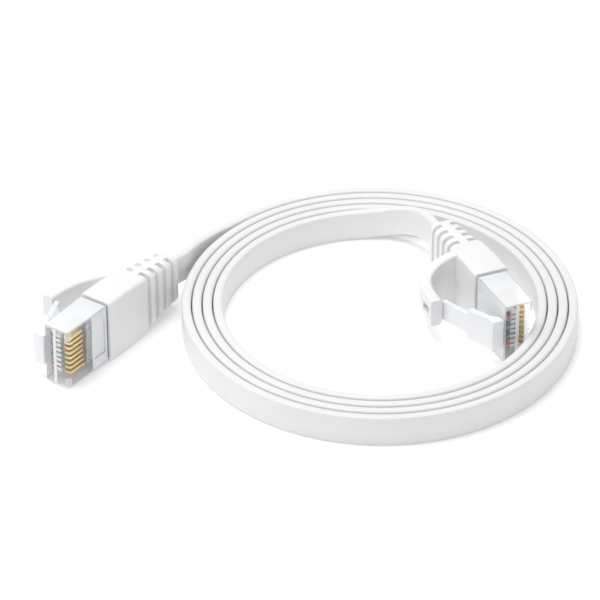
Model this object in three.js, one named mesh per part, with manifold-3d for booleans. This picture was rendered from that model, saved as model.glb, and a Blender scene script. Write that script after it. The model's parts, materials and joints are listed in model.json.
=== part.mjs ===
// Flat ethernet patch cable: two 8-contact modular plugs with snag-proof boots, joined by a flat
// ribbon cable that stands on its edge in a round coil. Millimetres, +Z up, ground at z = 0.
import * as THREE from 'three';
import { mergeVertices } from 'three/addons/utils/BufferGeometryUtils.js';
import Module from 'manifold-3d';

const wasm = await Module();
wasm.setup();

const GAP = 0.3; // running gap between neighbouring pieces
const CLEARANCE = 0.2; // around what is held in the boot

// Plug frame: the nose face is x = 0 and the plug runs along -x; +y is the contact side, -y the
// latch side, and z runs across the row of contacts, with contact 1 at the lowest z.
const PLUG_WIDTH = 11.68;
const PLUG_FACE = 11.3; // length of housing left bare in front of the boot
const PLUG_REAR = 21.4; // whole length of the housing
const CONTACT_SIDE = 2.85;
const LATCH_SIDE_NOSE = -2.65;
const LATCH_SIDE_REAR = -3;
const NOSE_CORNER = 0.35; // bevel of the two long edges of the nose face
const TAIL_HALF = { y: 2.5, z: 5.35 }; // slim rear of the housing, inside the boot
const HOUSING_EDGE = 0.3;
const CABLE_POCKET = { front: -6.6, y: [-2.1, 1.5], z: [-4.55, 4.55] }; // open at the rear
const WIRE_CHANNEL = { x: [-6.7, -1], y: [-2.05, -1.05], z: [-4.3, 4.3] }; // under the contacts
const RELIEF_WINDOW = { x: [-10.6, -7.4], y: [2.3, 4], z: [-3.6, 3.6] }; // a recess, not a hole

const PINS = [1, 2, 3, 4, 5, 6, 7, 8];
const PIN_PITCH = 1.02;
const CONTACT_THICK = 0.35;
const SLOT_WIDTH = 0.62;
const OPEN_SLOT = { x: [-6.6, 1], y: [0.95, 4] }; // where the jack's springs reach in
const DEEP_SLOT = { x: [-5.9, -1.3], y: [-1.3, 1] }; // where the blade stands
const WIRE_RADIUS = 0.3;
const WIRE_ROW = -1.5; // y of the row of conductors under the contacts
const COMB = { x: [-9.6, -7], y: [-2.05, -0.6], hole: 0.42 }; // spaces the conductors
const JACKET_PITCH = 0.68; // conductor spacing inside the flat jacket
const JACKET_START = 14.2; // where the jacket ends inside the plug

const BOOT_START = PLUG_FACE + GAP;
const SLEEVE_STRAIGHT = 17;
const SLEEVE_END = 23;
const BOOT_END = 33.1;
const BOOT_FRONT = { y: 3.3, z: 6.2 }; // half sizes of the boot at its front,
const BOOT_MIDDLE = { y: 3.2, z: 5.8 }; // at the end of its sleeve
const BOOT_BACK = { y: 2.6, z: 4.75 }; // and where the cable leaves it
const BOOT_EDGE = 0.6;
const GROOVES = 4;
const GROOVE_WIDTH = 1.1;
const GROOVE_PITCH = 2.5;
const GROOVE_DEPTH = { y: 0.75, z: 1.0 };
const SPINE_HALF = 0.8; // half width of the spine left along both narrow faces

const LATCH_EDGE = 0.15;
const LATCH_WIDTH = 6.1;
const LATCH_TAB_WIDTH = 3.9;
const GUARD_THICK = 2.2;
const GUARD_ROOT = { y: -3.2, half: 5.6 }; // half width of the guard strip at its root
const GUARD_ARCH = { y: -10.5, half: 2.65 }; // and from the top of its arch to its tip

// Flat cable and its coil. The coil is slightly longer front to back than side to side.
const RIBBON_WIDTH = 5.8;
const RIBBON_THICK = 1.7;
const RIBBON_CORNER = 0.45;
const LEAD_STRAIGHT = 2.5; // how far a free stretch runs straight on from its boot
const COIL_INNER = 29.9;
const COIL_OUTER = 36.4;
const COIL_STRETCH = 1.063;

// Where the plugs lie around the coil, whose centre is the middle of this layout.
const PLUG_A = { name: 'plug_a', nose: [-57.65, -19.45], heading: -125.6 };
const PLUG_B = { name: 'plug_b', nose: [25.2, -11.5], heading: -67 };
const PLUG_HEIGHT = BOOT_FRONT.z;

const finish = (color, roughness, metalness = 0) =>
  new THREE.MeshStandardMaterial({ color, roughness, metalness });
const clearPlastic = finish('#eef2f4', 0.08);
const whiteRubber = finish('#f2f2ef', 0.5);
const whiteJacket = finish('#f4f3ee', 0.45);
const gold = finish('#d9a441', 0.25, 1);
const wireColours = [
  '#e8b48c', '#e07b2a', '#bfe0c4', '#3f63b8', '#b9c8ee', '#2f9a62', '#d8c0b0', '#7c4a33',
];

// --- small building blocks ---

function node(name, geometry, material) {
  const mesh = new THREE.Mesh(geometry, material);
  mesh.name = name;
  return mesh;
}

function solid(geometry) {
  const bare = geometry.clone();
  for (const name of ['normal', 'uv']) bare.deleteAttribute(name);
  const merged = mergeVertices(bare, 1e-4);
  return new wasm.Manifold(new wasm.Mesh({
    numProp: 3,
    vertProperties: new Float32Array(merged.attributes.position.array),
    triVerts: new Uint32Array(merged.index.array),
  }));
}

function geometryOf(manifold) {
  const { vertProperties, triVerts } = manifold.getMesh();
  const geometry = new THREE.BufferGeometry();
  geometry.setAttribute('position', new THREE.BufferAttribute(vertProperties, 3));
  geometry.setIndex(new THREE.BufferAttribute(triVerts, 1));
  return geometry;
}

function block(x, y, z) {
  const geometry = new THREE.BoxGeometry(x[1] - x[0], y[1] - y[0], z[1] - z[0]);
  return geometry.translate((x[0] + x[1]) / 2, (y[0] + y[1]) / 2, (z[0] + z[1]) / 2);
}

const evenly = (half) => [-half, half];

function outline(points) {
  return new THREE.Shape(points.map(([x, y]) => new THREE.Vector2(x, y)));
}

// A plate: an outline in x and y, as wide as width in z, with its long edges rounded off.
function plate(points, width, edge = 0) {
  const geometry = new THREE.ExtrudeGeometry(outline(points), {
    depth: width - 2 * edge,
    bevelEnabled: edge > 0,
    bevelThickness: edge,
    bevelSize: edge,
    bevelOffset: -edge,
    bevelSegments: 2,
  });
  return geometry.translate(0, 0, edge - width / 2);
}

function roundedSection(halfX, halfY, corner) {
  const shape = new THREE.Shape();
  for (const [sx, sy, quarter] of [[1, 1, 0], [-1, 1, 1], [-1, -1, 2], [1, -1, 3]]) {
    const start = quarter * Math.PI / 2;
    shape.absarc(sx * (halfX - corner), sy * (halfY - corner), corner, start, start + Math.PI / 2);
  }
  return shape;
}

// A length of bar along -x whose half sizes go evenly from those of one station to the next.
function taperedLength(from, to, corner) {
  const depth = to.x - from.x;
  const section = roundedSection(from.y, from.z, corner);
  const geometry = new THREE.ExtrudeGeometry(section, { depth, bevelEnabled: false, curveSegments: 3 });
  const position = geometry.attributes.position;
  for (let k = 0; k < position.count; k++) {
    const t = position.getZ(k) / depth;
    const y = position.getX(k) * (1 + t * (to.y / from.y - 1));
    const z = position.getY(k) * (1 + t * (to.z / from.z - 1));
    position.setXYZ(k, -(from.x + t * depth), -y, z);
  }
  return solid(geometry);
}

function taperedBar(stations, corner) {
  const lengths = stations.slice(1).map((to, i) => taperedLength(stations[i], to, corner));
  return lengths.reduce((whole, part) => whole.add(part));
}

const pinHeight = (pin) => (pin - 4.5) * PIN_PITCH;

// --- the plug ---

function housing() {
  const bare = plate([
    [0, CONTACT_SIDE - NOSE_CORNER], [-NOSE_CORNER, CONTACT_SIDE], [-PLUG_FACE, CONTACT_SIDE],
    [-PLUG_FACE, LATCH_SIDE_REAR], [-NOSE_CORNER, LATCH_SIDE_NOSE], [0, LATCH_SIDE_NOSE + NOSE_CORNER],
  ], PLUG_WIDTH, HOUSING_EDGE);
  const tail = block([-PLUG_REAR, 1 - PLUG_FACE], evenly(TAIL_HALF.y), evenly(TAIL_HALF.z));
  const cuts = [
    block([-PLUG_REAR - 1, CABLE_POCKET.front], CABLE_POCKET.y, CABLE_POCKET.z),
    block(WIRE_CHANNEL.x, WIRE_CHANNEL.y, WIRE_CHANNEL.z),
    block(RELIEF_WINDOW.x, RELIEF_WINDOW.y, RELIEF_WINDOW.z),
  ];
  let body = solid(bare).add(solid(tail));
  for (const cut of cuts) body = body.subtract(solid(cut));
  for (const pin of PINS) body = body.subtract(contactSlot(pinHeight(pin)));
  return geometryOf(body);
}

function contactSlot(z) {
  const across = [z - SLOT_WIDTH / 2, z + SLOT_WIDTH / 2];
  const open = block(OPEN_SLOT.x, OPEN_SLOT.y, across);
  const deep = block(DEEP_SLOT.x, DEEP_SLOT.y, across);
  return solid(open).add(solid(deep));
}

// A contact blade: its rounded crest meets the jack, and its two teeth bite into the conductor.
function contact(pin) {
  const blade = plate([
    [-1.6, 0.65], [-1.4, 0.85], [-1.4, 1.6], [-1.85, 1.9], [-5.1, 1.9], [-5.6, 1.4], [-5.6, -0.85],
    [-4.7, -0.85], [-4.7, -0.2], [-3.9, -0.2], [-3.9, -0.85], [-3, -0.85], [-3, 0.65],
  ], CONTACT_THICK);
  return blade.translate(0, 0, pinHeight(pin));
}

// A conductor: straight under its contact and through the comb, then in to the flat jacket.
function conductor(pin) {
  const [wide, narrow] = [pinHeight(pin), (pin - 4.5) * JACKET_PITCH];
  const route = new THREE.CatmullRomCurve3([
    [-1.4, WIRE_ROW, wide], [-9.6, WIRE_ROW, wide], [-10.4, WIRE_ROW, wide],
    [-13, -0.15, narrow], [GAP - JACKET_START, 0, narrow],
  ].map((point) => new THREE.Vector3(...point)));
  const sides = [0, 1, 2, 3, 4, 5].map((k) => k * Math.PI / 3);
  const round = sides.map((angle) => [WIRE_RADIUS * Math.cos(angle), WIRE_RADIUS * Math.sin(angle)]);
  const section = outline(round);
  return new THREE.ExtrudeGeometry(section, { steps: 12, extrudePath: route });
}

function wireComb() {
  const [rear, front] = COMB.x;
  let comb = solid(block(COMB.x, COMB.y, WIRE_CHANNEL.z));
  for (const pin of PINS) {
    const hole = new THREE.CylinderGeometry(COMB.hole, COMB.hole, front - rear + 1, 10);
    hole.rotateZ(Math.PI / 2).translate((rear + front) / 2, WIRE_ROW, pinHeight(pin));
    comb = comb.subtract(solid(hole));
  }
  return geometryOf(comb);
}

// The last of the cable's flat jacket, held in the plug and the boot.
function jacketEnd() {
  const half = { y: RIBBON_THICK / 2, z: RIBBON_WIDTH / 2 };
  const ends = [{ x: JACKET_START, ...half }, { x: BOOT_END, ...half }];
  return geometryOf(taperedBar(ends, RIBBON_CORNER));
}

// The latch: a root block at the nose, a wide locking part, and a narrow tab to press.
function latch() {
  const rootFace = LATCH_SIDE_NOSE - GAP;
  const wide = plate([
    [-0.1, rootFace], [-1.5, rootFace - 0.05], [-2.6, -4.45], [-6.1, -6.15], [-6.1, -7.35],
    [-5, -7.1], [-1.6, -5.25], [-0.1, -5.1],
  ], LATCH_WIDTH, LATCH_EDGE);
  const tab = plate([
    [-5.4, -5.95], [-12, -8.75], [-12.2, -9.1], [-12, -9.65], [-9, -8.55], [-5.4, -7.1],
  ], LATCH_TAB_WIDTH, LATCH_EDGE);
  return geometryOf(solid(wide).add(solid(tab)));
}

// --- the boot ---

const bootStations = [
  { x: BOOT_START, ...BOOT_FRONT },
  { x: SLEEVE_STRAIGHT, ...BOOT_FRONT },
  { x: SLEEVE_END, ...BOOT_MIDDLE },
  { x: BOOT_END, ...BOOT_BACK },
];

// Half sizes of the boot's ribbed rear, at the distance x behind the nose.
function ribSize(x) {
  const t = (x - SLEEVE_END) / (BOOT_END - SLEEVE_END);
  const { lerp } = THREE.MathUtils;
  return { y: lerp(BOOT_MIDDLE.y, BOOT_BACK.y, t), z: lerp(BOOT_MIDDLE.z, BOOT_BACK.z, t) };
}

// One strain-relief groove: a slice of the boot, less its core and its two narrow-face spines.
function groove(index) {
  const start = SLEEVE_END + index * GROOVE_PITCH;
  const size = ribSize(start + GROOVE_WIDTH / 2);
  const core = { y: size.y - GROOVE_DEPTH.y, z: size.z - GROOVE_DEPTH.z };
  const along = [-start - GROOVE_WIDTH, -start];
  const longer = [along[0] - 1, along[1] + 1];
  return solid(block(along, evenly(size.y + 1), evenly(size.z + 1)))
    .subtract(solid(block(longer, evenly(core.y), evenly(core.z))))
    .subtract(solid(block(longer, evenly(SPINE_HALF), evenly(size.z + 2))));
}

function boot() {
  let body = taperedBar(bootStations, BOOT_EDGE);
  for (let index = 0; index < GROOVES; index++) body = body.subtract(groove(index));
  const plugPocket = block(
    [-PLUG_REAR - 0.5, 0], evenly(TAIL_HALF.y + CLEARANCE), evenly(TAIL_HALF.z + CLEARANCE),
  );
  const jacketSlot = block(
    [-BOOT_END - 1, 0], evenly(RIBBON_THICK / 2 + CLEARANCE), evenly(RIBBON_WIDTH / 2 + CLEARANCE),
  );
  return geometryOf(body.subtract(solid(plugPocket)).subtract(solid(jacketSlot)));
}

// Half width of the latch guard at the height y of its arch.
function guardHalf(y) {
  const t = THREE.MathUtils.clamp((y - GUARD_ARCH.y) / (GUARD_ROOT.y - GUARD_ARCH.y), 0, 1);
  return THREE.MathUtils.lerp(GUARD_ARCH.half, GUARD_ROOT.half, t ** 1.5);
}

// The latch guard: a strip that springs from the boot's latch side, arches forward and ends over
// the latch's tab, so that the tab can't catch. It narrows from its root to the top of the arch.
function latchGuard() {
  const rootFace = -BOOT_FRONT.y - GAP;
  const arch = new THREE.CatmullRomCurve3([
    [-21.1, rootFace], [-21.5, -5.6], [-21, -7.7], [-19.4, -9.5], [-16.4, -10.6], [-11.35, -11],
  ].map(([x, y]) => new THREE.Vector3(x, y, 0)));
  const [outer, inner] = [[], []];
  const steps = 16;
  for (let i = 0; i <= steps; i++) {
    const [p, t] = [arch.getPoint(i / steps), arch.getTangent(i / steps)];
    const side = GUARD_THICK / 2;
    outer.push([p.x - t.y * side, Math.min(rootFace, p.y + t.x * side)]);
    inner.push([p.x + t.y * side, Math.min(rootFace, p.y - t.x * side)]);
  }
  const strip = plate([...outer, ...inner.reverse()], 2); // so z is a share of the half width
  const position = strip.attributes.position;
  for (let k = 0; k < position.count; k++) {
    position.setZ(k, position.getZ(k) * guardHalf(position.getY(k)));
  }
  return strip;
}

function plug({ name, nose, heading }) {
  const group = new THREE.Group();
  group.position.set(nose[0], nose[1], PLUG_HEIGHT);
  group.rotation.z = THREE.MathUtils.degToRad(heading);
  group.add(
    node(`${name}_housing`, housing(), clearPlastic),
    node(`${name}_wire_comb`, wireComb(), clearPlastic),
    node(`${name}_latch`, latch(), clearPlastic),
    node(`${name}_boot`, boot(), whiteRubber),
    node(`${name}_latch_guard`, latchGuard(), whiteRubber),
    node(`${name}_jacket_end`, jacketEnd(), whiteJacket),
  );
  for (const pin of PINS) {
    group.add(node(`${name}_contact_${pin}`, contact(pin), gold));
    const insulation = finish(wireColours[pin - 1], 0.5);
    group.add(node(`${name}_conductor_${pin}`, conductor(pin), insulation));
  }
  return group;
}

// --- the cable ---

function layoutPoint({ nose, heading }, x, y = 0) {
  const turn = THREE.MathUtils.degToRad(heading);
  return [
    nose[0] + x * Math.cos(turn) - y * Math.sin(turn),
    nose[1] + x * Math.sin(turn) + y * Math.cos(turn),
  ];
}

// A free stretch of the flat cable: it stands upright all the way, and leaves its boot straight.
function lead(end, route) {
  const leaving = [GAP, LEAD_STRAIGHT]
    .map((along) => [...layoutPoint(end, -BOOT_END - along), PLUG_HEIGHT]);
  const points = [...leaving, ...route].map((point) => new THREE.Vector3(...point));
  const curve = new THREE.CatmullRomCurve3(points);
  const [w, t, c] = [RIBBON_WIDTH / 2, RIBBON_THICK / 2, RIBBON_CORNER];
  const section = outline([
    [w, t - c], [w - c, t], [c - w, t], [-w, t - c], [-w, c - t], [c - w, -t], [w - c, -t], [w, c - t],
  ]);
  const ribbon = new THREE.ExtrudeGeometry(section, { depth: 1, steps: 24, bevelEnabled: false });
  const position = ribbon.attributes.position;
  for (let k = 0; k < position.count; k++) {
    const [up, side, along] = [position.getX(k), position.getY(k), position.getZ(k)];
    const centre = curve.getPointAt(along);
    const tangent = curve.getTangentAt(along).setZ(0).normalize();
    position.setXYZ(k, centre.x + tangent.y * side, centre.y - tangent.x * side, centre.z + up);
  }
  return ribbon;
}

const leadARoute = [[-35.6, 11.9, 5.5], [-34.65, 15.1, 4.6], [-33.65, 17.7, 4.05]];
const leadBRoute = [
  [9.3, 25.4, 5.9], [6.7, 28.4, 5], [3.4, 30, 4], [0, 30.4, 3.3], [-5, 30.03, 3],
  [-9.83, 28.7, 3], [-14.4, 26.5, 3],
];

function coil() {
  const corners = [
    [COIL_INNER, 0], [COIL_OUTER, 0], [COIL_OUTER, RIBBON_WIDTH], [COIL_INNER, RIBBON_WIDTH],
  ];
  const profile = [...corners, corners[0]].map(([x, y]) => new THREE.Vector2(x, y));
  return new THREE.LatheGeometry(profile, 72).rotateX(Math.PI / 2).scale(1, COIL_STRETCH, 1);
}

const plugs = new THREE.Group().add(plug(PLUG_A), plug(PLUG_B));
const cable = new THREE.Group().add(
  node('cable_lead_a', lead(PLUG_A, leadARoute), whiteJacket),
  node('cable_coil', coil(), whiteJacket),
  node('cable_lead_b', lead(PLUG_B, leadBRoute), whiteJacket),
);

// The origin is on the ground, under the middle of the two plugs.
const middle = new THREE.Box3().setFromObject(plugs, true).getCenter(new THREE.Vector3());
const patchCable = new THREE.Group().add(plugs, cable);
patchCable.position.set(-middle.x, -middle.y, 0);

export default patchCable;
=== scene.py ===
"""Looks for a flat ethernet patch cable: two modular plugs in snag-proof boots and a coiled ribbon."""

import json
import math

import bmesh
import bpy
import numpy as np
from bpy.props import FloatProperty, FloatVectorProperty, PointerProperty
from mathutils import Matrix, Vector


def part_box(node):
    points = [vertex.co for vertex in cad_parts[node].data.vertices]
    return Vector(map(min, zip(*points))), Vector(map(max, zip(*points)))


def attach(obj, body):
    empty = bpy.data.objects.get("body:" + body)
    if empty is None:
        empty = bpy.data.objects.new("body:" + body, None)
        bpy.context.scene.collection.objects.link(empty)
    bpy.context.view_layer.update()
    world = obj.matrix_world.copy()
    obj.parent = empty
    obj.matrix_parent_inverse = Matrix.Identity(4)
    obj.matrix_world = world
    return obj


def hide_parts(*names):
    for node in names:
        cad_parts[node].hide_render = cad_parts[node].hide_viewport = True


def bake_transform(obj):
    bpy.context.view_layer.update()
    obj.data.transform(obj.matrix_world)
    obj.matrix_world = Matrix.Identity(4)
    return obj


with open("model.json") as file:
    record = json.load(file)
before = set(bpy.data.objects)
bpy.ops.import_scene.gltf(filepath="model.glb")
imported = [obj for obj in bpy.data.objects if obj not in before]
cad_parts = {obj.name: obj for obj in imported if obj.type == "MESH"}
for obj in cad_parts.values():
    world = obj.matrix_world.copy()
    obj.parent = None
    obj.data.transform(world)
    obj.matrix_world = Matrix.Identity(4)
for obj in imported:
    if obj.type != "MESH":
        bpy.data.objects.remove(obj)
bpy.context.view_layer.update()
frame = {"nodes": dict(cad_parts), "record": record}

bl_info = {
    "name": "Flat Patch Cable",
    "version": (1, 0, 0),
    "blender": (4, 5, 0),
    "location": "View3D > Sidebar > Patch Cable",
    "description": "Models a flat ethernet patch cable coiled on a table",
    "category": "Object",
}

MM = 0.001
ROOT = "cable_and_plugs"
PINS = range(1, 9)
PIN_MIDDLE = 4.5  # the row of contacts is even on both sides of this
NOSE_OFFSET = 0.5 * MM  # from the mount on a plug's nose to the middle of its boot


# --- sizes and colours a user would change ---


def length(name, description, millimetres):
    return FloatProperty(
        name=name, description=description, default=millimetres * MM, unit="LENGTH"
    )


def colour(name, description, value):
    return FloatVectorProperty(
        name=name,
        description=description,
        default=value,
        subtype="COLOR",
        size=3,
        min=0,
        max=1,
    )


class CableSettings(bpy.types.PropertyGroup):
    width: length("Width", "Width of the flat cable, which stands upright in the coil", 5.8)
    thickness: length("Thickness", "Thickness of the flat cable", 1.7)
    edge: length("Edge Radius", "Rounding of the flat cable's two edges", 0.45)
    spacing: length("Spacing", "Distance between the rings of the swept cable", 1.1)
    jacket: colour("Jacket", "Colour of the jacket", (0.80, 0.80, 0.795))


class PlugSettings(bpy.types.PropertyGroup):
    width: length("Width", "Width of the plug across its contacts", 11.68)
    contact_side: length("Contact Side", "Height of the contact side over the middle", 2.85)
    latch_side: length("Latch Side", "Depth of the latch side at the nose", 2.65)
    bare: length("Bare Length", "Length of housing in front of the boot", 11.3)
    pitch: length("Contact Pitch", "Distance between neighbouring contacts", 1.02)
    plastic: colour("Clear Plastic", "Tint of the clear plastic", (0.965, 0.975, 0.99))
    gold: colour("Gold", "Colour of the plated contacts", (0.98, 0.72, 0.3))


class BootSettings(bpy.types.PropertyGroup):
    start: length("Start", "Distance of the boot's front rim from the nose", 11.6)
    end: length("End", "Distance of the boot's rear from the nose", 33.1)
    groove: length("Groove Width", "Width of a strain-relief groove", 1.1)
    groove_pitch: length("Groove Pitch", "Distance between neighbouring grooves", 2.5)
    guard: length("Guard Thickness", "Thickness of the latch guard's strip", 2.2)
    rubber: colour("Soft Plastic", "Colour of the moulded boots", (0.83, 0.83, 0.83))


class StageSettings(bpy.types.PropertyGroup):
    distance: length("Camera Distance", "Distance from the camera to its aim point", 740.7)
    elevation: FloatProperty(
        name="Camera Elevation",
        description="Height of the camera over the horizon",
        default=math.radians(33),
        subtype="ANGLE",
    )
    floor: colour("Floor", "Colour of the floor", (0.93, 0.93, 0.93))


class PatchCableSettings(bpy.types.PropertyGroup):
    cable: PointerProperty(type=CableSettings, name="Cable", description="The flat cable")
    plug: PointerProperty(type=PlugSettings, name="Plug", description="The two plugs")
    boot: PointerProperty(type=BootSettings, name="Boot", description="The two boots")
    stage: PointerProperty(type=StageSettings, name="Stage", description="Camera and floor")


def settings():
    return bpy.context.scene.patch_cable


# --- where the two plugs stand ---


def plug_placing(letter):
    """Matrix from a plug's own millimetres (nose at x = 0, contacts at +y) to the shared frame."""
    mount = next(m for m in frame["record"]["mounts"] if m["name"] == f"plug_{letter}_nose")
    nose = Vector(mount["axis"]).normalized()
    contact_side = Vector((0, 0, 1)).cross(nose)
    turn = Matrix((nose, contact_side, Vector((0, 0, 1)))).transposed().to_4x4()
    origin = Vector(mount["pos_m"]) + contact_side * NOSE_OFFSET
    return Matrix.Translation(origin) @ turn @ Matrix.Scale(MM, 4)


PLUGS = {letter: plug_placing(letter) for letter in "ab"}


# --- modelling helpers; pieces of a plug are modelled in its own millimetres ---


def deselect_all():
    if bpy.context.mode != "OBJECT":
        bpy.ops.object.mode_set(mode="OBJECT")
    bpy.ops.object.select_all(action="DESELECT")


def choose(piece):
    deselect_all()
    piece.select_set(True)
    bpy.context.view_layer.objects.active = piece


def smooth(piece, degrees=40):
    """Shades a piece smooth, apart from where its faces meet at more than this angle."""
    choose(piece)
    bpy.ops.object.shade_smooth_by_angle(angle=math.radians(degrees))


def face_outwards(piece):
    choose(piece)
    bpy.ops.object.mode_set(mode="EDIT")
    bpy.ops.mesh.select_all(action="SELECT")
    bpy.ops.mesh.normals_make_consistent(inside=False)
    bpy.ops.object.mode_set(mode="OBJECT")


def block(name, x, y, z):
    """A block between two values along each axis."""
    deselect_all()
    low, high = Vector((x[0], y[0], z[0])), Vector((x[1], y[1], z[1]))
    bpy.ops.mesh.primitive_cube_add(size=1, location=(low + high) / 2, scale=high - low)
    piece = bpy.context.object
    piece.name = name
    bpy.ops.object.transform_apply(location=True, rotation=True, scale=True)
    return piece


def loft(name, rings):
    """A closed solid through rings of points: a filled circle, extruded from ring to ring."""
    deselect_all()
    bpy.ops.mesh.primitive_circle_add(vertices=len(rings[0]), fill_type="NGON")
    piece = bpy.context.object
    piece.name = name
    bpy.ops.object.mode_set(mode="EDIT")
    bpy.ops.mesh.select_all(action="SELECT")
    mesh = bmesh.from_edit_mesh(piece.data)
    place = {}
    for vert, point in zip(mesh.verts, rings[0]):
        vert.co = point
        place[vert.index] = len(place)
    for ring in rings[1:]:
        bpy.ops.mesh.extrude_region_move()
        mesh = bmesh.from_edit_mesh(piece.data)
        mesh.verts.index_update()
        new = {}
        for vert in [v for v in mesh.verts if v.select]:
            behind = next(
                e.other_vert(vert) for e in vert.link_edges if not e.other_vert(vert).select
            )
            new[vert.index] = place[behind.index]
            vert.co = ring[new[vert.index]]
        place = new
    bmesh.update_edit_mesh(piece.data)
    bpy.ops.object.mode_set(mode="OBJECT")
    face_outwards(piece)
    return piece


def rounded_ring(x, half_y, half_z, corner, steps=5):
    """Points round a rounded rectangle across the x axis."""
    ring = []
    for side_y, side_z, start in ((1, 1, 0), (-1, 1, 90), (-1, -1, 180), (1, -1, 270)):
        for step in range(steps + 1):
            angle = math.radians(start + 90 * step / steps)
            y = side_y * (half_y - corner) + corner * math.cos(angle)
            z = side_z * (half_z - corner) + corner * math.sin(angle)
            ring.append(Vector((x, y, z)))
    return ring


def slab(name, outline, width):
    """A plate with an outline in x and y, standing evenly on both sides of z = 0."""
    low = [Vector((x, y, -width / 2)) for x, y in outline]
    high = [Vector((x, y, width / 2)) for x, y in outline]
    return loft(name, [low, high])


def combine(piece, tool, operation):
    """Joins or cuts a piece with a tool, which is used up."""
    choose(piece)
    modifier = piece.modifiers.new("Combine", "BOOLEAN")
    modifier.object = tool
    modifier.operation = operation
    modifier.solver = "EXACT"
    bpy.ops.object.modifier_apply(modifier=modifier.name)
    bpy.data.objects.remove(tool)
    return piece


def round_edges(piece, width, segments=3, angle=30):
    choose(piece)
    modifier = piece.modifiers.new("Rounding", "BEVEL")
    modifier.width = width
    modifier.segments = segments
    modifier.limit_method = "ANGLE"
    modifier.angle_limit = math.radians(angle)
    bpy.ops.object.modifier_apply(modifier=modifier.name)
    smooth(piece)
    return piece


def copy_to_plug(pattern, name, letter, material, nodes, shift=0.0):
    """A copy of a pattern piece at a plug, with its own mesh, shifted across the contacts."""
    piece = pattern.copy()
    piece.data = pattern.data.copy()
    piece.name = name
    bpy.context.scene.collection.objects.link(piece)
    piece.data.transform(PLUGS[letter] @ Matrix.Translation((0, 0, shift)))
    if material:
        piece.data.materials.clear()
        piece.data.materials.append(material)
    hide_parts(*nodes)
    return piece


def discard(pattern):
    bpy.data.objects.remove(pattern)


def pin_across(pin, pitch):
    """A conductor's place across the plug, from its middle."""
    return (pin - PIN_MIDDLE) * pitch


# --- materials ---


def shader_group(name, inputs, outputs):
    """An empty node group with its sockets, and its input and output nodes."""
    group = bpy.data.node_groups.new(name, "ShaderNodeTree")
    for socket, kind, value in inputs:
        made = group.interface.new_socket(socket, in_out="INPUT", socket_type=kind)
        made.default_value = value
    for socket, kind in outputs:
        group.interface.new_socket(socket, in_out="OUTPUT", socket_type=kind)
    return group, group.nodes.new("NodeGroupInput"), group.nodes.new("NodeGroupOutput")


# A Mix node's sockets for numbers and for colours: its two values and its result.
NUMBER_SOCKETS = (2, 3, 0)
COLOUR_SOCKETS = (6, 7, 2)


def give(tree, socket, value):
    """Sets a socket to a value, or links it where the value is another node's output."""
    if isinstance(value, bpy.types.NodeSocket):
        tree.links.new(value, socket)
    else:
        socket.default_value = value


def mix(tree, factor, first, second, sockets=COLOUR_SOCKETS):
    """The result of a Mix node, between two colours unless it is given the number sockets."""
    node = tree.nodes.new("ShaderNodeMix")
    if sockets is COLOUR_SOCKETS:
        node.data_type = "RGBA"
    tree.links.new(factor, node.inputs["Factor"])
    give(tree, node.inputs[sockets[0]], first)
    give(tree, node.inputs[sockets[1]], second)
    return node.outputs[sockets[2]]


def calculate(tree, operation, first, second):
    """The result of a Math node."""
    node = tree.nodes.new("ShaderNodeMath")
    node.operation = operation
    give(tree, node.inputs[0], first)
    give(tree, node.inputs[1], second)
    return node.outputs["Value"]


def coordinates(tree, kind="Object"):
    return tree.nodes.new("ShaderNodeTexCoord").outputs[kind]


def stretched(tree, place, scale):
    """Coordinates scaled along each axis."""
    node = tree.nodes.new("ShaderNodeMapping")
    node.inputs["Scale"].default_value = scale
    tree.links.new(place, node.inputs["Vector"])
    return node.outputs["Vector"]


def face_attribute(tree, name):
    node = tree.nodes.new("ShaderNodeAttribute")
    node.attribute_name = name
    return node.outputs["Fac"]


def noise(tree, scale, detail, roughness=0.5):
    node = tree.nodes.new("ShaderNodeTexNoise")
    give(tree, node.inputs["Scale"], scale)
    node.inputs["Detail"].default_value = detail
    node.inputs["Roughness"].default_value = roughness
    return node


NOISE_RANGE = (0.3, 0.7)  # where nearly all of a noise's values lie
FULL_RANGE = (0, 1)


def remap(tree, source, low, high, span=NOISE_RANGE):
    """The result of a Map Range node that takes a span of values to the values low to high."""
    node = tree.nodes.new("ShaderNodeMapRange")
    node.inputs["From Min"].default_value, node.inputs["From Max"].default_value = span
    node.inputs["To Min"].default_value = low
    node.inputs["To Max"].default_value = high
    tree.links.new(source, node.inputs["Value"])
    return node.outputs["Result"]


DRIFT_SCALE = 55


def moulded_surface_group():
    """Fine moulded grain, slow waviness and a faint drift of colour, from Object coordinates."""
    group, given, result = shader_group(
        "Moulded Surface",
        [
            ("Colour", "NodeSocketColor", (0.8, 0.8, 0.8, 1)),
            ("Shade", "NodeSocketColor", (0.7, 0.7, 0.7, 1)),
            ("Grain Scale", "NodeSocketFloat", 2500.0),
            ("Wave Scale", "NodeSocketFloat", 160.0),
            ("Wave Share", "NodeSocketFloat", 0.5),
        ],
        [("Colour", "NodeSocketColor"), ("Height", "NodeSocketFloat")],
    )
    place = coordinates(group)
    grain = noise(group, given.outputs["Grain Scale"], 3, 0.6)
    wave = noise(group, given.outputs["Wave Scale"], 2)
    drift = noise(group, DRIFT_SCALE, 3)
    for node in (grain, wave, drift):
        group.links.new(place, node.inputs["Vector"])
    share = given.outputs["Wave Share"]
    height = mix(group, share, grain.outputs["Fac"], wave.outputs["Fac"], NUMBER_SOCKETS)
    spread = remap(group, drift.outputs["Fac"], 0, 1)
    tone = mix(group, spread, given.outputs["Colour"], given.outputs["Shade"])
    group.links.new(tone, result.inputs["Colour"])
    group.links.new(height, result.inputs["Height"])
    return group


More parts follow.
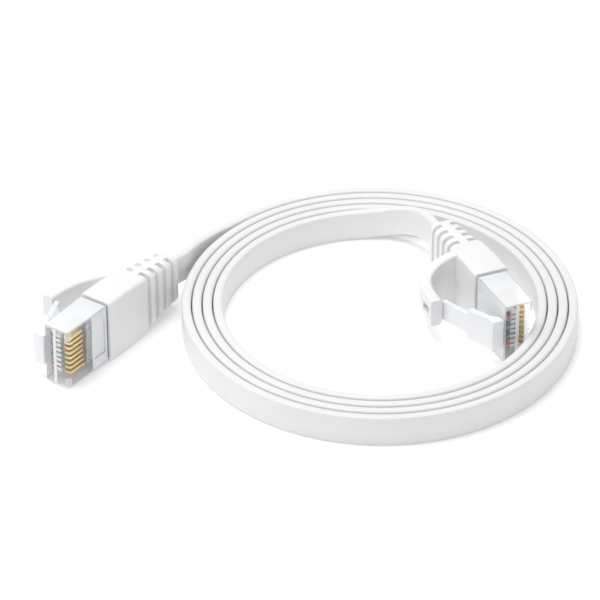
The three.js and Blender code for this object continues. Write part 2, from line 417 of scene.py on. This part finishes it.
def scuff_group():
    """Thin scuffs: a mask of stretched noise that roughens a surface along one direction."""
    group, given, result = shader_group(
        "Fine Scuffs",
        [("Scale", "NodeSocketFloat", 900.0), ("Amount", "NodeSocketFloat", 0.4)],
        [("Mask", "NodeSocketFloat")],
    )
    scratches = noise(group, given.outputs["Scale"], 4, 0.7)
    drawn_out = stretched(group, coordinates(group), (1, 1, 0.06))
    group.links.new(drawn_out, scratches.inputs["Vector"])
    lines = remap(group, scratches.outputs["Fac"], 0, 1)
    strong = calculate(group, "MULTIPLY", lines, given.outputs["Amount"])
    group.links.new(strong, result.inputs["Mask"])
    return group


def place_group(tree, group, **values):
    node = tree.nodes.new("ShaderNodeGroup")
    node.node_tree = group
    for name, value in values.items():
        node.inputs[name.replace("_", " ")].default_value = value
    return node


def opaque(rgb, factor=1.0):
    return tuple(channel * factor for channel in rgb) + (1.0,)


def base_material(name, rgb, shade, grain, wave, share, rough, bump):
    """A material whose colour, roughness and bump come from the moulded surface and its scuffs.

    The colour drifts down to shade times itself, the roughness runs between two values, and the
    bump is a strength and a height in millimetres. Share is how much of it is slow waves.
    """
    material = bpy.data.materials.new(name)
    material.use_nodes = True
    tree = material.node_tree
    shader = tree.nodes["Principled BSDF"]
    surface = place_group(
        tree,
        GROUPS["surface"],
        Colour=opaque(rgb),
        Shade=opaque(rgb, shade),
        Grain_Scale=grain,
        Wave_Scale=wave,
        Wave_Share=share,
    )
    tree.links.new(surface.outputs["Colour"], shader.inputs["Base Color"])
    scuffs = place_group(tree, GROUPS["scuffs"], Amount=rough[1] - rough[0])
    gloss = calculate(tree, "ADD", scuffs.outputs["Mask"], rough[0])
    tree.links.new(gloss, shader.inputs["Roughness"])
    relief = tree.nodes.new("ShaderNodeBump")
    relief.inputs["Strength"].default_value = bump[0]
    relief.inputs["Distance"].default_value = bump[1] * MM
    tree.links.new(surface.outputs["Height"], relief.inputs["Height"])
    tree.links.new(relief.outputs["Normal"], shader.inputs["Normal"])
    return material, tree, shader, surface, relief


def boot_rubber():
    material, _, shader, _, _ = base_material(
        "boot_rubber",
        settings().boot.rubber,
        shade=0.965,
        grain=3200,
        wave=240,
        share=0.35,
        rough=(0.42, 0.55),
        bump=(0.35, 0.05),
    )
    shader.inputs["Specular IOR Level"].default_value = 0.4
    return material


def cable_jacket():
    """The jacket: as moulded plastic, with faint die lines along its own length from its UV map."""
    material, tree, shader, surface, relief = base_material(
        "cable_jacket",
        settings().cable.jacket,
        shade=0.97,
        grain=2800,
        wave=200,
        share=0.3,
        rough=(0.36, 0.5),
        bump=(0.4, 0.06),
    )
    shader.inputs["Specular IOR Level"].default_value = 0.45
    lines = noise(tree, 1, 3)
    along = stretched(tree, coordinates(tree, "UV"), (6, 90, 1))
    tree.links.new(along, lines.inputs["Vector"])
    height = calculate(tree, "ADD", lines.outputs["Fac"], surface.outputs["Height"])
    tree.links.new(height, relief.inputs["Height"])
    return material


MILKY, CLEAR = 0.86, 0.1  # how much of the clear plastic's own colour shows
# painted shade: a grey mixed into the clear plastic on its rounded edges in place of the darkening
# from refraction, and its largest share
EDGE_PAINTED_SHADE, EDGE_SHADE_SHARE = (0.42, 0.44, 0.47, 1), 0.5


def clear_plastic():
    """Clear plastic: milky through its thick walls, clear where "clear_zone" says, and with painted
    shade along its rounded edges, where "painted_edge_shade" says, a grey that stands in for
    refraction."""
    material, tree, shader, surface, _ = base_material(
        "clear_plastic",
        settings().plug.plastic,
        shade=0.98,
        grain=1800,
        wave=350,
        share=0.8,
        rough=(0.06, 0.16),
        bump=(0.2, 0.04),
    )
    shader.inputs["Transmission Weight"].default_value = 0.14
    shader.inputs["IOR"].default_value = 1.35
    # painted shade: the faces of the rounded edges are tinted grey
    share = remap(tree, face_attribute(tree, "painted_edge_shade"), 0, EDGE_SHADE_SHARE, FULL_RANGE)
    tone = mix(tree, share, surface.outputs["Colour"], EDGE_PAINTED_SHADE)
    tree.links.new(tone, shader.inputs["Base Color"])
    body = remap(tree, face_attribute(tree, "clear_zone"), MILKY, CLEAR, FULL_RANGE)
    tree.links.new(body, shader.inputs["Alpha"])
    return material


def gold_plate():
    material, _, shader, _, _ = base_material(
        "gold_contacts",
        settings().plug.gold,
        shade=0.9,
        grain=4000,
        wave=700,
        share=0.5,
        rough=(0.3, 0.48),
        bump=(0.2, 0.02),
    )
    shader.inputs["Metallic"].default_value = 1.0
    return material


def copper():
    material, _, shader, _, _ = base_material(
        "copper_core",
        (0.24, 0.1, 0.08),
        shade=0.8,
        grain=5000,
        wave=900,
        share=0.5,
        rough=(0.3, 0.5),
        bump=(0.2, 0.02),
    )
    shader.inputs["Metallic"].default_value = 1.0
    return material


INSULATION = {
    1: ("white_orange", (0.85, 0.42, 0.36)),
    2: ("orange", (0.78, 0.16, 0.12)),
    3: ("white_green", (0.12, 0.5, 0.36)),
    4: ("blue", (0.04, 0.06, 0.24)),
    5: ("white_blue", (0.42, 0.44, 0.78)),
    6: ("green", (0.1, 0.16, 0.22)),
    7: ("white_brown", (0.72, 0.36, 0.42)),
    8: ("brown", (0.16, 0.05, 0.06)),
}


PALER_SHARE = 0.25


def insulation(name, rgb):
    """A conductor's insulation, with faint paler bands."""
    material, tree, shader, surface, _ = base_material(
        "insulation_" + name,
        rgb,
        shade=0.8,
        grain=3500,
        wave=600,
        share=0.5,
        rough=(0.35, 0.5),
        bump=(0.3, 0.03),
    )
    bands = tree.nodes.new("ShaderNodeTexWave")
    bands.inputs["Scale"].default_value = 500
    bands.inputs["Distortion"].default_value = 2
    tree.links.new(coordinates(tree), bands.inputs["Vector"])
    amount = remap(tree, bands.outputs["Fac"], 0, PALER_SHARE)
    paler = opaque([(1 + channel) / 2 for channel in rgb])
    tone = mix(tree, amount, surface.outputs["Colour"], paler)
    tree.links.new(tone, shader.inputs["Base Color"])
    return material


GROUPS = {}
MATERIALS = {}


def make_materials():
    GROUPS["surface"] = moulded_surface_group()
    GROUPS["scuffs"] = scuff_group()
    MATERIALS["rubber"] = boot_rubber()
    MATERIALS["jacket"] = cable_jacket()
    MATERIALS["clear"] = clear_plastic()
    MATERIALS["gold"] = gold_plate()
    MATERIALS["copper"] = copper()
    for pin, (name, rgb) in INSULATION.items():
        MATERIALS[pin] = insulation(name, rgb)


# --- stage ---


AIM_FROM_COIL = Vector((-14.115, 8.586, 0)) * MM  # the camera's aim point, from the coil's middle
LENS, SENSOR_WIDTH = 240, 36
CLIP_START, CLIP_END = 0.01, 20
FLOOR_SIZE, FLOOR_TOP = 4, -0.00005
LIGHTS = (  # name, location, size, watts, colour
    ("overhead", (-0.15, 0.1, 0.9), 0.7, 6.2, (1, 0.99, 0.97)),
    ("side", (-0.95, -0.25, 0.4), 0.5, 1.1, (1, 1, 1)),
)
SKY_COLOUR, SKY_STRENGTH = (0.95, 0.97, 1, 1), 0.57


def area_light(name, location, aim, size, watts, rgb):
    deselect_all()
    bpy.ops.object.light_add(type="AREA", location=location)
    light = bpy.context.object
    light.name = name
    light.rotation_euler = (Vector(aim) - Vector(location)).to_track_quat("-Z", "Y").to_euler()
    light.data.shape = "DISK"
    light.data.size = size
    light.data.energy = watts
    light.data.color = rgb


def soft_surroundings():
    world = bpy.data.worlds.new("studio")
    bpy.context.scene.world = world
    world.use_nodes = True
    background = world.node_tree.nodes["Background"]
    background.inputs["Color"].default_value = SKY_COLOUR
    background.inputs["Strength"].default_value = SKY_STRENGTH


def floor_material():
    material = bpy.data.materials.new("studio_floor")
    material.use_nodes = True
    tree = material.node_tree
    shader = tree.nodes["Principled BSDF"]
    paper = noise(tree, 30, 3)
    tree.links.new(coordinates(tree), paper.inputs["Vector"])
    pale = settings().stage.floor
    tone = mix(tree, paper.outputs["Fac"], opaque(pale), opaque(pale, 0.985))
    for socket in ("Base Color", "Emission Color"):
        tree.links.new(tone, shader.inputs[socket])
    shader.inputs["Emission Strength"].default_value = 0.2
    shader.inputs["Roughness"].default_value = 0.9
    shader.inputs["Specular IOR Level"].default_value = 0.1
    return material


class PATCHCABLE_OT_stage(bpy.types.Operator):
    """Makes the camera, the lights and the pale floor"""

    bl_idname = "patchcable.stage"
    bl_label = "Stage"

    def execute(self, context):
        stage = settings().stage
        coil_low, coil_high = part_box("cable_coil")
        aim = (coil_low + coil_high) / 2 + AIM_FROM_COIL
        aim.z = 0
        away = Vector((0, -math.cos(stage.elevation), math.sin(stage.elevation)))
        deselect_all()
        bpy.ops.object.camera_add(location=aim + away * stage.distance)
        camera = context.object
        camera.name = "camera"
        camera.rotation_euler = (-away).to_track_quat("-Z", "Y").to_euler()
        camera.data.lens = LENS
        camera.data.sensor_width = SENSOR_WIDTH
        camera.data.clip_start = CLIP_START
        camera.data.clip_end = CLIP_END
        context.scene.camera = camera
        context.scene.view_settings.view_transform = "Standard"
        for name, location, size, watts, rgb in LIGHTS:
            area_light(name, location, aim, size, watts, rgb)
        soft_surroundings()
        deselect_all()
        bpy.ops.mesh.primitive_grid_add(
            x_subdivisions=4, y_subdivisions=4, size=FLOOR_SIZE, location=(0, 0, FLOOR_TOP)
        )
        floor = context.object
        floor.name = "floor"
        bpy.ops.object.transform_apply(location=True)
        floor.data.materials.append(floor_material())
        return {"FINISHED"}


# --- the flat cable ---

# The free stretches at the two boots: points from the middle of the coil, in millimetres.
LEAD_A = [
    (-35.6, 11.9, 5.5),
    (-34.65, 15.1, 4.6),
    (-33.4, 18.2, 3.9),
    (-31.4, 21.5, 3.3),
    (-28.9, 24.6, 2.98),
]
LEAD_B = [(-5, 30.03, 3), (0, 30.4, 3.3), (3.4, 30, 4), (6.7, 28.4, 5), (9.3, 25.4, 5.9)]
TURN_HALF = (34.868, 37.068)  # half sizes of the coil, to the gap outside its outermost turn
TURN_STEP = 0.055045  # how much a turn grows, as a share of those
TURNS = range(128, -1333, -10)  # degrees round the coil, from lead a to lead b
UPRIGHT = 2.9  # height of the middle of the flat cable where it stands on the ground
BOOT_ENDS = (-0.2, 2.5)  # where the cable starts in a boot's rear, and how far it then runs straight
CURVE_STEPS = 12  # points between two that a route is given
UV_RINGS = 100  # rings of the swept cable to one unit of its UV map


def coil_point(degrees):
    """A point on the middle of the wound cable; the angle falls along it, turn by turn."""
    reach = 1 + TURN_STEP * (degrees / 360 + 0.5)
    angle = math.radians(degrees)
    return (
        TURN_HALF[0] * reach * math.cos(angle),
        TURN_HALF[1] * reach * math.sin(angle),
        UPRIGHT,
    )


def smooth_route(points, spacing):
    """Points an even distance apart on a smooth curve through the given ones, and its length."""
    points = np.array(points, float)
    padded = np.vstack([2 * points[0] - points[1], points, 2 * points[-1] - points[-2]])
    fine = []
    for a, b, c, d in zip(padded, padded[1:], padded[2:], padded[3:]):
        for t in np.linspace(0, 1, CURVE_STEPS, endpoint=False):
            fine.append(
                0.5
                * (
                    2 * b
                    + (c - a) * t
                    + (2 * a - 5 * b + 4 * c - d) * t**2
                    + (3 * b - a - 3 * c + d) * t**3
                )
            )
    fine.append(points[-1])
    fine = np.array(fine)
    reach = np.concatenate([[0], np.cumsum(np.linalg.norm(np.diff(fine, axis=0), axis=1))])
    count = max(2, round(reach[-1] / spacing))
    even = np.linspace(0, reach[-1], count + 1)
    return np.stack([np.interp(even, reach, fine[:, k]) for k in range(3)], axis=1), reach[-1]


def cable_route():
    """The whole cable's middle line in millimetres, from boot a's rear to boot b's, and its length."""
    low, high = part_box("cable_coil")
    middle = np.array([(low.x + high.x) / 2, (low.y + high.y) / 2, 0]) / MM
    wound = np.array([*LEAD_A, *(coil_point(degrees) for degrees in TURNS), *LEAD_B]) + middle
    rear = settings().boot.end / MM
    leaving = [np.array(PLUGS["a"] @ Vector((-rear - x, 0, 0))) / MM for x in BOOT_ENDS]
    arriving = [np.array(PLUGS["b"] @ Vector((-rear - x, 0, 0))) / MM for x in BOOT_ENDS[::-1]]
    return smooth_route([*leaving, *wound, *arriving], settings().cable.spacing / MM)


def ribbon_section(cable):
    """Points (out, up) round the flat cable's section, with rounded edges."""
    ring = rounded_ring(0, cable.thickness / MM / 2, cable.width / MM / 2, cable.edge / MM, 4)
    return [(point.y, point.z) for point in ring]


def sweep_upright(name, route, section):
    """A closed tube along a route whose section stays upright, with a UV map along its length."""
    tangents = np.gradient(route, axis=0)
    tangents[:, 2] = 0
    tangents /= np.linalg.norm(tangents, axis=1)[:, None]
    out = np.stack([tangents[:, 1], -tangents[:, 0], np.zeros(len(route))], axis=1)
    up = np.array([0, 0, 1.0])
    sides = len(section)
    verts = [c + o * a + up * b for c, o in zip(route, out) for a, b in section]
    faces = []
    for ring in range(len(route) - 1):
        for side in range(sides):
            a, b = ring * sides + side, ring * sides + (side + 1) % sides
            faces.append((a, a + sides, b + sides, b))
    faces.append(tuple(range(sides)))
    faces.append(tuple(reversed(range(len(verts) - sides, len(verts)))))
    mesh = bpy.data.meshes.new(name)
    mesh.from_pydata([tuple(v * MM) for v in verts], [], faces)
    uv = mesh.uv_layers.new(name="along")
    for polygon in mesh.polygons[:-2]:
        for corner, loop in enumerate(polygon.loop_indices):
            ring = polygon.vertices[corner] // sides
            side = polygon.index % sides + (1 if corner in (2, 3) else 0)
            uv.data[loop].uv = (ring / UV_RINGS, side / sides)
    piece = bpy.data.objects.new(name, mesh)
    bpy.context.scene.collection.objects.link(piece)
    return piece


class PATCHCABLE_OT_flat_cable(bpy.types.Operator):
    """Sweeps the flat cable from one boot, round its coil and into the other boot"""

    bl_idname = "patchcable.flat_cable"
    bl_label = "Flat Cable"

    def execute(self, context):
        route, reach = cable_route()
        cable = sweep_upright("flat_cable", route, ribbon_section(settings().cable))
        face_outwards(cable)
        smooth(cable, 50)
        cable.data.materials.append(MATERIALS["jacket"])
        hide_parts("cable_lead_a", "cable_coil", "cable_lead_b")
        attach(cable, ROOT)
        context.scene["cable_route"] = [float(v) for v in (route * MM).ravel()]
        context.scene["cable_length"] = float(reach * MM)
        return {"FINISHED"}


# --- boots ---


GROOVES = 4
GROOVE_START, GROOVE_REACH = 23, 10  # the first groove's place, and the length over which they taper
GROOVE_Y, GROOVE_Z = (2.3, -0.55), (4.65, -1.05)  # the first groove's floor, and its change
GROOVE_OUT = (5, 8)  # how far the blocks that cut a groove reach
SPINE = 0.8  # half width of the strip that stays between the grooves of the two sides
GUARD_ROOT, GUARD_RISE = -10.5, 7.3  # height where the guard starts to widen, and over how much
GUARD_HALF, GUARD_GROWTH = 2.65, 2.95  # half width of its strip at the tip, and what the root adds
GUARD_LINE = [
    (-20.9, -2.9),
    (-21.25, -4.2),
    (-21.5, -5.6),
    (-21.35, -6.9),
    (-20.7, -8.2),
    (-19.4, -9.45),
    (-17.6, -10.3),
    (-15.4, -10.75),
    (-13.2, -10.95),
    (-11.35, -11),
]
GUARD_RECESS = ((-15.2, -12.3), (-13, -11.2), (-0.8, 0.8))
BOOT_HOLLOW = ((-22, -10), (-2.7, 2.7), (-5.55, 5.55))
BOOT_SLOT = ((-40, -10), (-0.95, 0.95), (-3.1, 3.1))  # for the flat cable


def boot_shell(boot):
    """The boot's outside: straight over the housing, then tapering to the cable."""
    start, end = boot.start / MM, boot.end / MM
    stations = [  # distance from the nose, half height, half width, corner
        (start, 3.2, 6.1, 0.6),
        (start + 0.15, 3.3, 6.2, 0.6),
        (17, 3.3, 6.2, 0.6),
        (22.4, 3.2, 5.84, 0.7),
        (23.4, 3.13, 5.74, 1.5),
        (end - 0.4, 2.62, 4.78, 1.6),
        (end, 2.3, 4.45, 1.4),
    ]
    return loft("boot", [rounded_ring(-x, y, z, corner) for x, y, z, corner in stations])


def boot_groove(index, boot):
    """The six blocks that cut one groove: round both wide faces, leaving a spine on each side."""
    start = GROOVE_START + index * boot.groove_pitch / MM
    along = (-start - boot.groove / MM, -start)
    share = (start - GROOVE_START) / GROOVE_REACH
    deep_y, deep_z = (floor + change * share for floor, change in (GROOVE_Y, GROOVE_Z))
    out_y, out_z = GROOVE_OUT
    blocks = []
    for side in (1, -1):
        for y, z in (
            ((deep_y, out_y), (-out_z, out_z)),
            ((SPINE, out_y), (deep_z, out_z)),
            ((SPINE, out_y), (-out_z, -deep_z)),
        ):
            blocks.append(block("groove", along, sorted((side * y[0], side * y[1])), z))
    return blocks


def guard_half(y):
    """Half width of the guard's strip at a height over the latch side."""
    share = min(1, max(0, (y - GUARD_ROOT) / GUARD_RISE))
    return GUARD_HALF + GUARD_GROWTH * share**1.5


def guard_strip(boot):
    """The latch guard: a strip that arches from the boot's side forward over the latch's tab."""
    route, _ = smooth_route([(x, y, 0) for x, y in GUARD_LINE], 0.55)
    tangents = np.gradient(route, axis=0)
    tangents /= np.linalg.norm(tangents, axis=1)[:, None]
    thick, rings = boot.guard / MM / 2, []
    for (x, y, _), (dx, dy, _) in zip(route, tangents):
        section = rounded_ring(0, thick, guard_half(y), 0.5, 3)
        rings.append([Vector((x - dy * p.y, y + dx * p.y, p.z)) for p in section])
    return combine(loft("guard", rings), block("recess", *GUARD_RECESS), "DIFFERENCE")


class PATCHCABLE_OT_boots(bpy.types.Operator):
    """Models the ribbed boots, each moulded in one with its latch guard"""

    bl_idname = "patchcable.boots"
    bl_label = "Boots"

    def execute(self, context):
        boot = settings().boot
        shell = boot_shell(boot)
        for index in range(GROOVES):
            for tool in boot_groove(index, boot):
                combine(shell, tool, "DIFFERENCE")
        round_edges(shell, 0.14, 2, 35)
        combine(shell, guard_strip(boot), "UNION")
        for space in (BOOT_HOLLOW, BOOT_SLOT):
            combine(shell, block("space", *space), "DIFFERENCE")
        smooth(shell, 38)
        for letter in PLUGS:
            name = f"plug_{letter}_boot"
            piece = copy_to_plug(
                shell,
                name + "_and_guard",
                letter,
                MATERIALS["rubber"],
                [name, f"plug_{letter}_latch_guard"],
            )
            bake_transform(piece)
        discard(shell)
        return {"FINISHED"}


# --- housings and latches ---


NOSE_DROP, NOSE_SLANT, TAIL_SLANT = 0.5, 0.4, 0.35  # the corners of the housing's outline
TAIL_END, TAIL_OVERLAP, TAIL_Y, TAIL_Z = -21.4, 1, (-2.5, 2.5), (-5.35, 5.35)  # inside the boot
HOUSING_HOLLOWS = (
    ((-25, -6.6), (-2.1, 1.5), (-4.55, 4.55)),  # for the comb and the jacket's end
    ((-6.7, -1), (-2.05, -1.05), (-4.3, 4.3)),  # for the conductors under the contacts
    ((-10.6, -7.4), (2.6, 4), (-3.6, 3.6)),  # the shallow recess in the contact side
)
CONTACT_SLOT_HALF = 0.31
CONTACT_SLOTS = (((-6.6, 1), (0.95, 4)), ((-5.9, -1.3), (-1.3, 1.2)))
CLEAR_BACK, CLEAR_HALF = -6.8, 4.25  # how far the clear part of the nose reaches
CLEAR_CONTACTS, CLEAR_ENDS, ENDS_DEPTH = 0.1, (-2.4, -0.6), -1.2
SPLITS = (CLEAR_CONTACTS, CLEAR_ENDS[1], -2.3)
EDGE_SLANT, EDGE_LIMIT = 0.25, 0.97  # what makes a face part of a rounded edge
LATCH_LINE = [
    (-0.1, -2.95),
    (-1.5, -3.0),
    (-2.6, -4.45),
    (-6.1, -6.15),
    (-6.1, -7.35),
    (-5, -7.1),
    (-1.6, -5.25),
    (-0.1, -5.1),
]
TAB_LINE = [(-5.4, -5.95), (-12, -8.75), (-12.2, -9.1), (-12, -9.65), (-9, -8.55), (-5.4, -7.1)]
LATCH_WIDTH, TAB_WIDTH = 6.1, 3.9


def mark_faces(piece, name, test):
    """Gives each face 1 in an attribute where it passes a test, and 0 where it doesn't."""
    marks = piece.data.attributes.new(name, "FLOAT", "FACE")
    for face in piece.data.polygons:
        marks.data[face.index].value = 1.0 if test(face) else 0.0


def on_rounded_edge(face):
    return sorted(abs(v) for v in face.normal)[1] > EDGE_SLANT


def on_lengthwise_edge(face):
    return EDGE_SLANT < abs(face.normal.z) < EDGE_LIMIT


def in_clear_zone(face):
    x, y, z = face.center
    ends = x > ENDS_DEPTH and CLEAR_ENDS[0] < y < CLEAR_ENDS[1]
    return x > CLEAR_BACK and abs(z) < CLEAR_HALF and (y > CLEAR_CONTACTS or ends)


def split_clear_zones(body):
    """Splits the nose's faces where the parts begin that show the contacts and wire ends."""
    choose(body)
    bpy.ops.object.mode_set(mode="EDIT")
    cuts = [((0, y, 0), (0, 1, 0)) for y in SPLITS] + [((CLEAR_BACK, 0, 0), (1, 0, 0))]
    for place, across in cuts:
        bpy.ops.mesh.select_all(action="SELECT")
        bpy.ops.mesh.bisect(plane_co=place, plane_no=across)
    bpy.ops.object.mode_set(mode="OBJECT")


class PATCHCABLE_OT_housings(bpy.types.Operator):
    """Models the clear housings, with their contact slots and the hollow for the wires"""

    bl_idname = "patchcable.housings"
    bl_label = "Housings"

    def execute(self, context):
        plug = settings().plug
        bare, top, low = plug.bare / MM, plug.contact_side / MM, -plug.latch_side / MM
        outline = [
            (0, top - NOSE_DROP),
            (-NOSE_DROP, top),
            (-bare, top),
            (-bare, low - TAIL_SLANT),
            (-NOSE_SLANT, low),
            (0, low + NOSE_SLANT),
        ]
        body = slab("housing", outline, plug.width / MM)
        round_edges(body, 0.24, 3)
        tail = block("tail", (TAIL_END, TAIL_OVERLAP - bare), TAIL_Y, TAIL_Z)
        combine(body, tail, "UNION")
        for hollow in HOUSING_HOLLOWS:
            combine(body, block("hollow", *hollow), "DIFFERENCE")
        for pin in PINS:
            z = pin_across(pin, plug.pitch / MM)
            across = (z - CONTACT_SLOT_HALF, z + CONTACT_SLOT_HALF)
            for x, y in CONTACT_SLOTS:
                combine(body, block("slot", x, y, across), "DIFFERENCE")
        round_edges(body, 0.05, 1, 50)
        split_clear_zones(body)
        mark_faces(body, "clear_zone", in_clear_zone)
        # marks the faces of the rounded edges that get painted shade
        mark_faces(body, "painted_edge_shade", on_rounded_edge)
        for letter in PLUGS:
            name = f"plug_{letter}_housing"
            clear = MATERIALS["clear"]
            piece = copy_to_plug(body, name + "_clear", letter, clear, [name])
            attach(piece, ROOT)
        discard(body)
        return {"FINISHED"}


class PATCHCABLE_OT_latches(bpy.types.Operator):
    """Models the sprung latches: root block, wide locking part and narrow tab"""

    bl_idname = "patchcable.latches"
    bl_label = "Latches"

    def execute(self, context):
        wide = slab("latch", LATCH_LINE, LATCH_WIDTH)
        combine(wide, slab("tab", TAB_LINE, TAB_WIDTH), "UNION")
        round_edges(wide, 0.18, 3)
        # marks the faces of the lengthwise rounded edges that get painted shade
        mark_faces(wide, "painted_edge_shade", on_lengthwise_edge)
        for letter in PLUGS:
            name = f"plug_{letter}_latch"
            clear = MATERIALS["clear"]
            piece = copy_to_plug(wide, name + "_clear", letter, clear, [name])
            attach(piece, f"latch_{letter}")
        discard(wide)
        return {"FINISHED"}


# --- contacts and conductors ---


BLADE_LINE = [
    (-1.6, 0.65),
    (-1.4, 0.85),
    (-1.4, 1.75),
    (-1.55, 1.96),
    (-1.85, 2.08),
    (-5.1, 2.08),
    (-5.45, 1.9),
    (-5.6, 1.6),
    (-5.6, -0.85),
    (-4.7, -0.85),
    (-4.7, -0.2),
    (-3.9, -0.2),
    (-3.9, -0.85),
    (-3, -0.85),
    (-3, 0.65),
]
BLADE_WIDTH = 0.5
JACKET_PITCH = 0.68  # distance between conductors where they enter the jacket
WIRE_SIDES, WIRE_RADIUS, WIRE_TAPER = 12, 0.42, 0.09
CORE_INSET, CORE_PROUD = 0.2, 0.12  # the copper core in a conductor's cut end


class PATCHCABLE_OT_contacts(bpy.types.Operator):
    """Models the sixteen gold contact blades from one pattern"""

    bl_idname = "patchcable.contacts"
    bl_label = "Contacts"

    def execute(self, context):
        blade = slab("blade", BLADE_LINE, BLADE_WIDTH)
        round_edges(blade, 0.07, 2)
        for letter in PLUGS:
            for pin in PINS:
                name = f"plug_{letter}_contact_{pin}"
                shift = pin_across(pin, settings().plug.pitch / MM)
                piece = copy_to_plug(
                    blade, name + "_gold", letter, MATERIALS["gold"], [name], shift
                )
                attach(piece, ROOT)
        discard(blade)
        return {"FINISHED"}


def conductor_pattern(pin, pitch):
    """One conductor: insulation along its route, with its bare copper core in the cut front end."""
    wide, narrow = pin_across(pin, pitch), pin_across(pin, JACKET_PITCH)
    points = [
        (-1.05, -1.45, wide),
        (-4, -1.5, wide),
        (-7, -1.5, wide),
        (-9.6, -1.5, wide),
        (-10.6, -1.4, wide),
        (-12.8, -0.2, narrow),
        (-13.9, 0, narrow),
    ]
    route, _ = smooth_route(points, 0.5)
    angles = [math.radians(360 / WIRE_SIDES * side) for side in range(WIRE_SIDES)]
    rings = []
    for index, (x, y, z) in enumerate(route):
        radius = WIRE_RADIUS - WIRE_TAPER * index / (len(route) - 1)
        rings.append(
            [Vector((x, y + radius * math.cos(a), z + radius * math.sin(a))) for a in angles]
        )
    wire = loft("conductor", rings)
    choose(wire)
    wire.data.materials.append(MATERIALS[pin])
    wire.data.materials.append(MATERIALS["copper"])
    bpy.ops.object.mode_set(mode="EDIT")
    bpy.ops.mesh.select_all(action="DESELECT")
    mesh = bmesh.from_edit_mesh(wire.data)
    front = max(mesh.faces, key=lambda face: (len(face.verts), face.calc_center_median().x))
    front.select = True
    bmesh.update_edit_mesh(wire.data)
    bpy.ops.mesh.inset(thickness=CORE_INSET)
    wire.active_material_index = 1
    bpy.ops.object.material_slot_assign()
    bpy.ops.mesh.extrude_region_move(TRANSFORM_OT_translate={"value": (CORE_PROUD, 0, 0)})
    bpy.ops.object.mode_set(mode="OBJECT")
    smooth(wire)
    return wire


class PATCHCABLE_OT_conductors(bpy.types.Operator):
    """Models the insulated conductors that fan out from the flat cable to the contacts"""

    bl_idname = "patchcable.conductors"
    bl_label = "Conductors"

    def execute(self, context):
        for pin in PINS:
            wire = conductor_pattern(pin, settings().plug.pitch / MM)
            for letter in PLUGS:
                name = f"plug_{letter}_conductor_{pin}"
                piece = copy_to_plug(wire, name + "_wire", letter, None, [name])
                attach(piece, ROOT)
            discard(wire)
        return {"FINISHED"}


class PATCHCABLE_OT_inner_pieces(bpy.types.Operator):
    bl_idname = "patchcable.inner_pieces"
    bl_label = "Inner Pieces"

    def execute(self, context):
        for letter in PLUGS:
            for part, material in (("wire_comb", "clear"), ("jacket_end", "jacket")):
                node = frame["nodes"][f"plug_{letter}_{part}"]
                node.data.materials.clear()
                node.data.materials.append(MATERIALS[material])
        return {"FINISHED"}


class PATCHCABLE_PT_panel(bpy.types.Panel):
    """Lists the steps that make the patch cable"""

    bl_idname = "PATCHCABLE_PT_panel"
    bl_label = "Patch Cable"
    bl_space_type = "VIEW_3D"
    bl_region_type = "UI"
    bl_category = "Patch Cable"

    def draw(self, context):
        for operator in STEPS:
            self.layout.operator(operator.bl_idname)


STEPS = (
    PATCHCABLE_OT_stage,
    PATCHCABLE_OT_flat_cable,
    PATCHCABLE_OT_boots,
    PATCHCABLE_OT_housings,
    PATCHCABLE_OT_latches,
    PATCHCABLE_OT_contacts,
    PATCHCABLE_OT_conductors,
    PATCHCABLE_OT_inner_pieces,
)
SETTINGS = (CableSettings, PlugSettings, BootSettings, StageSettings, PatchCableSettings)
CLASSES = (*SETTINGS, *STEPS, PATCHCABLE_PT_panel)


def register():
    for cls in CLASSES:
        bpy.utils.register_class(cls)
    bpy.types.Scene.patch_cable = PointerProperty(type=PatchCableSettings)


def unregister():
    del bpy.types.Scene.patch_cable
    for cls in reversed(CLASSES):
        bpy.utils.unregister_class(cls)


def main():
    register()
    make_materials()
    bpy.ops.patchcable.stage()
    bpy.ops.patchcable.flat_cable()
    bpy.ops.patchcable.boots()
    bpy.ops.patchcable.housings()
    bpy.ops.patchcable.latches()
    bpy.ops.patchcable.contacts()
    bpy.ops.patchcable.conductors()
    bpy.ops.patchcable.inner_pieces()


if __name__ == "__main__":
    main()
